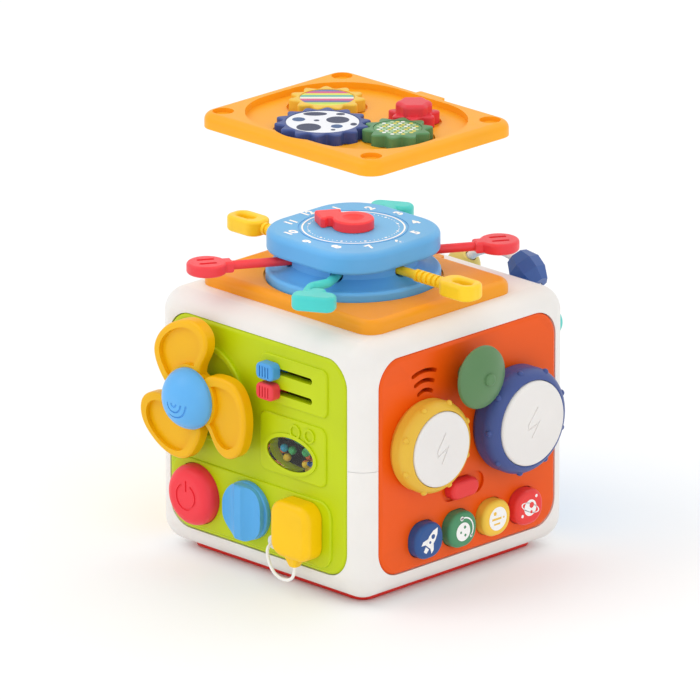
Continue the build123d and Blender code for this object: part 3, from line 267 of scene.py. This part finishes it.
LOOKS = {
    "lower_shell": moulded("white_shell_low", "E9E6E2", 0.40, glow=0.04, depth=0.5),
    "upper_shell": moulded("white_shell_high", "E9E6E2", 0.40, glow=0.04, depth=0.5),
    "base_plate": moulded("base_red", "E0281C", 0.34),
    "battery_door": moulded("door_red", "E0281C", 0.38, grain=0.3),
    "battery_box": moulded("box_white", "E8E8E6", 0.45),
    "batteries": steel("battery_case", "C8CCD0", 0.28),
    "housing_screws": steel("screw_steel", "B4B8BC", 0.32),
    "front_panel": moulded("panel_green", "BED000", 0.40),
    "right_panel": moulded("panel_orange", "EA5600", 0.40),
    "back_panel": moulded("panel_blue", "4FA7E2", 0.40),
    "left_panel": moulded("panel_yellow", "F7C51E", 0.40),
    # The seated board is the same orange moulding as the lifted board; its darker orange is painted
    # shade from the parts above it.
    "top_board": moulded("board_seated_painted_shade", "F09C1C", 0.38),
    "gear_board": moulded("board_lifted", "FAAA1C", 0.38),
    "saucer_base": moulded("saucer_blue", "62AEE8", 0.38),
    "clock_disc": moulded("disc_blue", "62AEE8", 0.38),
    "clock_hand": moulded("hand_red", "F23E45", 0.34),
    "string_yellow": silicone("string_yellow", "F8CE08"),
    "string_red": silicone("string_red", "EF3540"),
    "string_teal": silicone("string_teal", "42D2CC"),
    "fan_blades": moulded("fan_yellow", "F0B400", 0.36),
    "fan_hub": moulded("hub_blue", "62B2F0", 0.34),
    "fan_axle": steel("axle_steel", "C4C8CC"),
    "power_button": moulded("power_red", "F23A46", 0.38, grain=0.10),
    "rotary_knob": moulded("knob_blue", "56A8E4", 0.36),
    "knob_clip": steel("clip_steel", "C4C8CC"),
    "power_plug": moulded("plug_yellow", "FAC600", 0.36),
    "plug_prongs": steel("prong_steel", "C4C8CC"),
    "cord_grommet": silicone("grommet_white", "ECECEA"),
    "slider_blue": moulded("slider_blue", "4D9DDD", 0.36),
    "slider_red": moulded("slider_red", "E8404A", 0.36),
    "window_lens": clear_plastic("lens_clear"),
    "rattle_cup": moulded("cup_dark", "33362A", 0.55),
    "rattle_beads": moulded("beads_plain", "E8742C", 0.3),
    "drum_shell_yellow": moulded("drum_yellow", "E2B63C", 0.38),
    "drum_shell_navy": moulded("drum_navy", "42548F", 0.38),
    "drum_head_yellow": moulded("drum_skin_small", "E6E3E0", 0.46, glow=0.04, depth=0.5),
    "drum_head_navy": moulded("drum_skin_large", "E6E3E0", 0.46, glow=0.04, depth=0.5),
    "cymbal": moulded("cymbal_green", "5C8358", 0.36),
    "mode_switch": moulded("switch_red", "EA3B3C", 0.36),
    "key_navy": moulded("key_navy", "2F5592", 0.36),
    "key_green": moulded("key_green", "4C8F66", 0.36),
    "key_yellow": moulded("key_yellow", "F0C445", 0.36),
    "key_red": moulded("key_red", "EC3F3C", 0.36),
    "circuit_board": moulded("board_mask", "1E6B3C", 0.42),
    "speaker": moulded("speaker_black", "1C1C1E", 0.6),
    "arch_rod": moulded("rod_white", "F2F1EE", 0.34),
    "arch_foot_left": moulded("foot_left", "F2F1EE", 0.38),
    "arch_foot_right": moulded("foot_right", "F2F1EE", 0.38),
    "arch_bead_cream": moulded("bead_cream", "E3CC6C", 0.34),
    "arch_bead_navy": moulded("bead_navy", "3C5C9C", 0.34),
    "arch_bead_teal": moulded("bead_teal", "48C9C0", 0.34),
    "gear_pins": steel("pin_steel", "C4C8CC"),
    "gear_navy": moulded("gear_navy", "41538F", 0.36),
    "gear_yellow": moulded("gear_yellow", "EFC244", 0.36),
    "gear_green": moulded("gear_green", "5C8F5E", 0.36),
    "gear_red": moulded("gear_red", "E8404A", 0.36),
}


def dress(node_name, material):
    """Give a CAD node its material."""
    node = nodes[node_name]
    node.data.materials.clear()
    node.data.materials.append(material)


for node_name, material in LOOKS.items():
    dress(node_name, material)


# ---------------------------------------------------------------- mesh helpers
def from_bmesh(mesh, name, material, body):
    """Make an object from a bmesh, dressed and riding on a body."""
    data = bpy.data.meshes.new(name)
    bmesh.ops.recalc_face_normals(mesh, faces=mesh.faces)
    mesh.to_mesh(data)
    mesh.free()
    piece = bpy.data.objects.new(name, data)
    scene.collection.objects.link(piece)
    data.materials.append(material)
    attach(piece, body)
    return piece


def right_side_plane(centre):
    """Local plane on the +X side of the cube: x across, y up, z out."""
    across, outward = Vector((0, 1, 0)), Vector((1, 0, 0))
    up = outward.cross(across)
    turn = Matrix((across, up, outward)).transposed().to_4x4()
    return Matrix.Translation(centre) @ turn


def polygon_plate(outlines, thickness, place):
    """Closed plates from 2-D outlines in mm, extruded outwards and placed."""
    mesh = bmesh.new()
    for outline in outlines:
        low = [mesh.verts.new((x * MM, y * MM, 0)) for x, y in outline]
        high = [mesh.verts.new((x * MM, y * MM, thickness * MM)) for x, y in outline]
        mesh.faces.new(list(reversed(low)))
        mesh.faces.new(high)
        for index in range(len(low)):
            after = (index + 1) % len(low)
            mesh.faces.new((low[index], low[after], high[after], high[index]))
    bmesh.ops.transform(mesh, matrix=place, verts=mesh.verts)
    return mesh


def circle_points(radius, centre=(0.0, 0.0), count=40, stretch=1.0):
    """Points round a circle or an ellipse."""
    turns = [tau * index / count for index in range(count)]
    return [
        (centre[0] + radius * cos(turn), centre[1] + radius * stretch * sin(turn)) for turn in turns
    ]


def band(radius, width, start=0.0, sweep=tau, stretch=1.0, count=60):
    """Outlines of a ring or an arc band, as short quads."""
    inner, outer = radius - width / 2, radius + width / 2
    quads = []
    for index in range(count):
        a = start + sweep * index / count
        b = start + sweep * (index + 1) / count
        quads.append(
            [
                (r * cos(t), r * stretch * sin(t))
                for r, t in ((inner, a), (outer, a), (outer, b), (inner, b))
            ]
        )
    return quads


# ---------------------------------------------------------------- the plug's cord
CORD_DIAMETER = 0.0018
CORD_ROUTE = (
    (35.5, -87.0, 18.4),
    (35.5, -87.0, 12.0),
    (29.5, -87.3, 8.2),
    (21.0, -87.5, 9.6),
    (15.4, -87.3, 16.6),
    (14.5, -87.0, 25.5),
    (14.5, -72.0, 25.5),
    (14.3, -50.0, 25.5),
)


def make_cord():
    """The white cord: out of the strain relief, round a loop and into the panel."""
    curve = bpy.data.curves.new("plug_lead", "CURVE")
    curve.dimensions = "3D"
    curve.bevel_depth = CORD_DIAMETER / 2
    curve.bevel_resolution = 6
    curve.resolution_u = 16
    curve.use_fill_caps = True
    spline = curve.splines.new("NURBS")
    spline.points.add(len(CORD_ROUTE) - 1)
    for point, place in zip(spline.points, CORD_ROUTE):
        point.co = (*(value * MM for value in place), 1.0)
    spline.order_u = 3
    spline.use_endpoint_u = True
    curve.materials.append(silicone("lead_white", "F2F2F0"))
    piece = bpy.data.objects.new("plug_lead", curve)
    scene.collection.objects.link(piece)
    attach(piece, "plug")
    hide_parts("plug_cord")


make_cord()

# ---------------------------------------------------------------- clock dial
disc_low, disc_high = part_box("clock_disc")
DISC_TOP = disc_high[2]
DIAL_CENTRE = Vector(((disc_low[0] + disc_high[0]) / 2, (disc_low[1] + disc_high[1]) / 2, 0))
PRINT_LIFT = 0.02  # mm that a print stands off its surface
PRINT_THICKNESS = 0.06  # mm
NUMBER_SIZE = 0.0078
NUMBER_BOLD = 0.0003  # extra thickness of the strokes
NUMBER_RISE = 0.00006
NUMBER_RING = 34.6  # mm from the middle of the dial
TICK_RING = 24.6
DIAL_LINE = (27.6, 0.8)  # radius and width
dial_white = ink("dial_white", "F6F8FA")


def make_number(hour, place, body):
    """One raised number of the dial as a mesh, centred on its place."""
    name = f"dial_number_{hour:02d}"
    curve = bpy.data.curves.new(name, "FONT")
    curve.body = str(hour)
    curve.size = NUMBER_SIZE
    curve.extrude = NUMBER_RISE
    curve.offset = NUMBER_BOLD
    curve.align_x = "CENTER"
    curve.align_y = "CENTER"
    holder = bpy.data.objects.new(name + "_curve", curve)
    scene.collection.objects.link(holder)
    data = bpy.data.meshes.new_from_object(holder)
    bpy.data.objects.remove(holder)
    data.transform(place)
    data.materials.clear()
    data.materials.append(dial_white)
    piece = bpy.data.objects.new(name, data)
    scene.collection.objects.link(piece)
    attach(piece, body)


def make_dial():
    """White printed rings, ticks and the numbers 1 to 12, twelve towards -X."""
    face = Matrix.Translation(DIAL_CENTRE + Vector((0, 0, DISC_TOP + PRINT_LIFT * MM)))
    outlines = band(*DIAL_LINE, count=96)
    for index in range(60):
        turn = tau * index / 60
        radius, corners = (0.36, 10) if index % 5 else (0.75, 14)
        place = (TICK_RING * cos(turn), TICK_RING * sin(turn))
        outlines.append(circle_points(radius, place, corners))
    mesh = polygon_plate(outlines, PRINT_THICKNESS, face)
    from_bmesh(mesh, "dial_rings", dial_white, "housing")
    for hour in range(1, 13):
        turn = pi - tau * hour / 12
        spot = Vector((NUMBER_RING * cos(turn), NUMBER_RING * sin(turn), 0)) * MM
        place = face @ Matrix.Translation(spot) @ Matrix.Rotation(pi / 2, 4, "Z")
        make_number(hour, place, "housing")


make_dial()

# ---------------------------------------------------------------- key signs
key_white = ink("key_white", "F7F7F5")
MARK_LIFT = 0.07  # mm that the marks stand above the white print
MARK_THICKNESS = 0.04


def spot_of(node_name):
    """Middle of a key's outer face."""
    low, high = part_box(node_name)
    return Vector((high[0] + PRINT_LIFT * MM, (low[1] + high[1]) / 2, (low[2] + high[2]) / 2))


def turned(outlines, angle):
    """Outlines turned about the origin."""
    return [
        [(x * cos(angle) - y * sin(angle), x * sin(angle) + y * cos(angle)) for x, y in outline]
        for outline in outlines
    ]


def mirrored(outline):
    """Outline mirrored left to right."""
    return [(-x, y) for x, y in reversed(outline)]


ROCKET_TILT = radians(-38)
ROCKET_FIN = [(2.5, 0.4), (5.0, -2.8), (4.8, -5.2), (2.1, -3.2)]
ROCKET = turned(
    [
        [(0, 8.6), (2.0, 5.6), (2.8, 1.8), (2.2, -3.4), (-2.2, -3.4), (-2.8, 1.8), (-2.0, 5.6)],
        ROCKET_FIN,
        mirrored(ROCKET_FIN),
        [(-1.5, -4.1), (1.5, -4.1), (1.2, -7.0), (-1.2, -7.0)],
    ],
    ROCKET_TILT,
)
KEY_SIGNS = (
    # key, white outlines, outlines in the key's own colour, that colour
    (
        "key_navy",
        ROCKET,
        turned([circle_points(1.35, (0, 3.0), 20), circle_points(0.8, (0, -0.6), 16)], ROCKET_TILT),
        "2F5592",
    ),
    (
        "key_green",
        [circle_points(5.2, (-0.6, -0.8))]
        + band(6.9, 0.8, radians(-40), radians(150))
        + [circle_points(1.3, (-1.6, 6.8), 16), circle_points(0.9, (5.4, -4.4), 16)],
        [
            circle_points(0.9, (0.6, 1.6), 20),
            circle_points(0.7, (-2.4, -0.9), 20),
            circle_points(0.8, (0.9, -3.0), 20),
        ],
        "4C8F66",
    ),
    (
        "key_yellow",
        [circle_points(6.6)],
        [
            circle_points(1.1, (-2.2, 3.2), 16),
            [(-4.4, -0.6), (2.6, -0.6), (2.6, 0.6), (-4.4, 0.6)],
            circle_points(0.6, (4.4, 0.0), 16),
            [(-3.0, -3.4), (1.6, -3.4), (1.6, -2.4), (-3.0, -2.4)],
        ],
        "F0C445",
    ),
    (
        "key_red",
        [circle_points(4.6)]
        + turned(band(6.9, 0.9, stretch=0.34), radians(-24))
        + [circle_points(0.9, place, 16) for place in ((-6.0, -3.6), (4.6, 5.8))],
        [circle_points(1.7, (1.0, 1.4), 20), circle_points(0.9, (0.8, -2.5), 16)],
        "EC3F3C",
    ),
)


def make_key_signs():
    """White space signs printed on the four keys."""
    for node_name, white, own, code in KEY_SIGNS:
        place = right_side_plane(spot_of(node_name))
        mesh = polygon_plate(white, PRINT_THICKNESS, place)
        from_bmesh(mesh, node_name + "_sign", key_white, node_name)
        place = right_side_plane(spot_of(node_name) + Vector((MARK_LIFT * MM, 0, 0)))
        mesh = polygon_plate(own, MARK_THICKNESS, place)
        from_bmesh(mesh, node_name + "_marks", ink(node_name + "_ink", code), node_name)


make_key_signs()

# ---------------------------------------------------------------- gear labels
LABEL_SEAT = 0.5  # mm from a gear's top down to its label seat
LABEL_THICKNESS = 0.25
LABEL_MARK = 0.05  # thickness of what is printed over a label
LABEL_RADII = {"gear_navy": 19.6, "gear_yellow": 14.5, "gear_green": 12.8}
DOT_PITCH = (2.9, 2.7)
DOT_RADIUS = 1.15
DOT_FIELD = 11.4
NAVY_BLOBS = (
    # x, y, radius, stretch, before the label is turned
    (-7.4, -9.6, 6.6, 1.0),
    (8.1, 3.4, 6.2, 0.95),
    (-4.0, 14.0, 6.4, 0.5),
    (-3.2, 2.4, 1.5, 1.0),
    (5.6, -14.2, 1.3, 1.0),
    (16.6, -4.4, 1.8, 1.3),
    (9.6, 13.6, 2.4, 0.8),
)
BLUE_BLOBS = (
    (-12.8, 4.3, 3.5, 1.0),
    (7.6, -8.0, 3.2, 1.0),
)
STRIPE_COLOURS = (
    "6C6FA8",
    "D94F86",
    "E3E04C",
    "4FB8A4",
    "F0EBD8",
    "D94F86",
    "5D62A0",
    "B9D84A",
    "E3E04C",
)
DOT_COLOURS = (("white", "F4F4EC"), ("yellow", "E8D65A"), ("pale", "B9D7A6"))
LABEL_TURN = radians(45)


def strip_of_disc(radius, low, high, angle):
    """Part of a disc between two parallel lines, turned to an angle."""
    rows = [low + (high - low) * index / 6 for index in range(7)]
    reach = [(max(radius * radius - row * row, 0.0) ** 0.5, row) for row in rows]
    outline = reach + [(-x, row) for x, row in reversed(reach)]
    return turned([outline], angle)[0]


def label_place(node_name, height=0.0):
    """Level plane on a gear's label seat."""
    low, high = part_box(node_name)
    centre = Vector(((low[0] + high[0]) / 2, (low[1] + high[1]) / 2, high[2]))
    return Matrix.Translation(centre + Vector((0, 0, (PRINT_LIFT - LABEL_SEAT + height) * MM)))


def make_label(node_name, suffix, outlines, colour, height=0.0, thickness=LABEL_THICKNESS):
    """One colour of a gear's printed label."""
    mesh = polygon_plate(outlines, thickness, label_place(node_name, height))
    from_bmesh(mesh, f"{node_name}_{suffix}", ink(f"{node_name}_{suffix}", colour, 0.38), node_name)


def make_gear_labels():
    """Spotted, striped and dotted labels on three of the gears."""
    above = LABEL_THICKNESS + 0.01
    make_label("gear_navy", "label", [circle_points(LABEL_RADII["gear_navy"], count=72)], "F1F2F6")
    for suffix, blobs, colour in (("dark", NAVY_BLOBS, "16264F"), ("blue", BLUE_BLOBS, "215086")):
        outlines = [circle_points(radius, (x, y), 28, stretch) for x, y, radius, stretch in blobs]
        make_label("gear_navy", suffix, turned(outlines, LABEL_TURN), colour, above, LABEL_MARK)
    radius = LABEL_RADII["gear_yellow"]
    wide = 2 * radius / len(STRIPE_COLOURS)
    for index, colour in enumerate(STRIPE_COLOURS):
        low = radius - wide * (index + 1) + 0.001
        strip = strip_of_disc(radius, low, min(low + wide, radius - 0.01), LABEL_TURN)
        make_label("gear_yellow", f"stripe_{index}", [strip], colour)
    ground = circle_points(LABEL_RADII["gear_green"], count=60)
    make_label("gear_green", "label", [ground], "5E9A5C")
    for shift, (suffix, colour) in enumerate(DOT_COLOURS):
        dots = []
        for row in range(-4, 5):
            for column in range(-4, 5):
                x = DOT_PITCH[0] * (column + (row % 2) / 2)
                y = DOT_PITCH[1] * row
                if x * x + y * y < DOT_FIELD**2 and (row - column) % 3 == shift:
                    dots.append(circle_points(DOT_RADIUS, (x, y), 16))
        make_label("gear_green", suffix, turned(dots, LABEL_TURN), colour, above, LABEL_MARK)


make_gear_labels()

# ---------------------------------------------------------------- loose beads
BEAD_LOOKS = (
    # x and z of each bead in mm, colour
    (13.6, 75.8, "F07A28"),
    (17.1, 78.1, "2E9FC4"),
    (22.3, 77.7, "3FAE62"),
    (18.3, 72.8, "F4C92E"),
    (33.5, 79.4, "3FAE62"),
    (32.6, 76.1, "F07A28"),
    (33.5, 72.8, "F4C92E"),
    (37.2, 74.3, "3E7FD0"),
)


def colour_beads():
    """Give every loose bead its own colour by where it lies."""
    data = nodes["rattle_beads"].data
    turn = nodes["rattle_beads"].matrix_world
    data.materials.clear()
    for index, (x, z, code) in enumerate(BEAD_LOOKS):
        data.materials.append(moulded(f"bead_{index}", code, 0.28))
    for polygon in data.polygons:
        middle = turn @ polygon.center / MM
        gaps = [(middle.x - x) ** 2 + (middle.z - z) ** 2 for x, z, _ in BEAD_LOOKS]
        polygon.material_index = gaps.index(min(gaps))


colour_beads()

# ---------------------------------------------------------------- floor, light
FLOOR_SIZE = 40.0
FLOOR_GAP = 0.0002  # keeps the floor clear of the base plate's underside
FLOOR_COLOUR = (0.99, 0.99, 0.99, 1.0)
SURROUND_COLOUR = (1.0, 1.0, 1.0, 1.0)
SURROUND_STRENGTH = 0.93
LAMPS = (
    # name, place, size, watts; the last is small and lights the dial under the lifted board
    ("key", (-0.9, -1.3, 1.9), 1.4, 9.0),
    ("fill", (1.7, -0.6, 1.1), 1.2, 3.0),
    ("rim", (0.3, 1.6, 1.6), 1.2, 3.0),
    ("gap", (0.0, -0.007, 0.2335), 0.1, 0.035),
)


def make_stage():
    """Pale floor, soft studio lights and a white surround."""
    mesh = bmesh.new()
    bmesh.ops.create_grid(mesh, x_segments=2, y_segments=2, size=FLOOR_SIZE / 2)
    data = bpy.data.meshes.new("floor")
    mesh.to_mesh(data)
    mesh.free()
    floor = bpy.data.objects.new("floor", data)
    scene.collection.objects.link(floor)
    floor.location.z = -FLOOR_GAP
    paint = bpy.data.materials.new("floor_pale")
    paint.use_nodes = True
    shader = paint.node_tree.nodes["Principled BSDF"]
    shader.inputs["Base Color"].default_value = FLOOR_COLOUR
    shader.inputs["Roughness"].default_value = 0.7
    data.materials.append(paint)
    world = bpy.data.worlds.new("surround")
    world.use_nodes = True
    background = world.node_tree.nodes["Background"]
    background.inputs["Color"].default_value = SURROUND_COLOUR
    background.inputs["Strength"].default_value = SURROUND_STRENGTH
    scene.world = world
    for name, place, size, watts in LAMPS:
        lamp = bpy.data.lights.new(name, "AREA")
        lamp.size = size
        lamp.energy = watts
        holder = bpy.data.objects.new(name, lamp)
        holder.location = place
        holder.rotation_euler = (AIM - Vector(place)).to_track_quat("-Z", "Y").to_euler()
        holder.visible_camera = False
        scene.collection.objects.link(holder)


make_stage()
